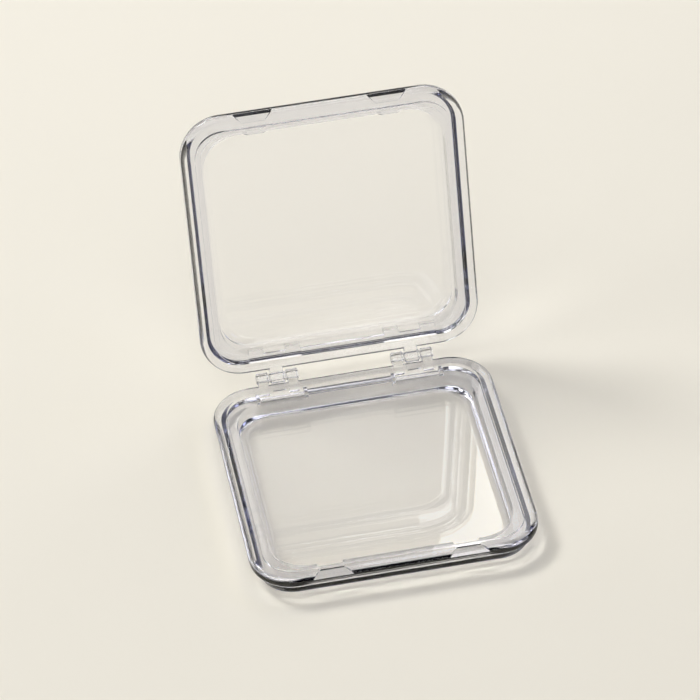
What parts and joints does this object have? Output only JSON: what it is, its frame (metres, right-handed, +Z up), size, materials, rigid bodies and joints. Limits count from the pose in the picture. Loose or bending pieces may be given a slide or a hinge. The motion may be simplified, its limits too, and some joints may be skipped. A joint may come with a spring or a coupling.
{
  "type": "hinged clear plastic case",
  "caption": "Clear hinged clamshell case: a shallow base tray and a matching lid, rounded corners, thick rims, pinned hinges and a lid that leans open on its stops.",
  "frame": {"origin": "centre of the flat underside of the base, which it rests on", "axes": "+X along the hinge line, +Y from the thumb edge to the hinges, +Z up"},
  "size_m": [0.1, 0.1356, 0.109],
  "materials": {
    "base_plastic": "clear, polished",
    "lid_plastic": "clear, polished",
    "pin_plastic": "clear, smooth"
  },
  "bodies": {
    "base": {"base": "base_plastic", "hinge_pin_left": "pin_plastic", "hinge_pin_right": "pin_plastic"},
    "lid": {"lid": "lid_plastic"}
  },
  "joints": [
    {"name": "lid_hinge", "type": "hinge", "parent": "base", "child": "lid", "pos_m": [0, 0.0524, 0.01005], "axis": [1, 0, 0], "range_deg": [0, 104]}
  ]
}
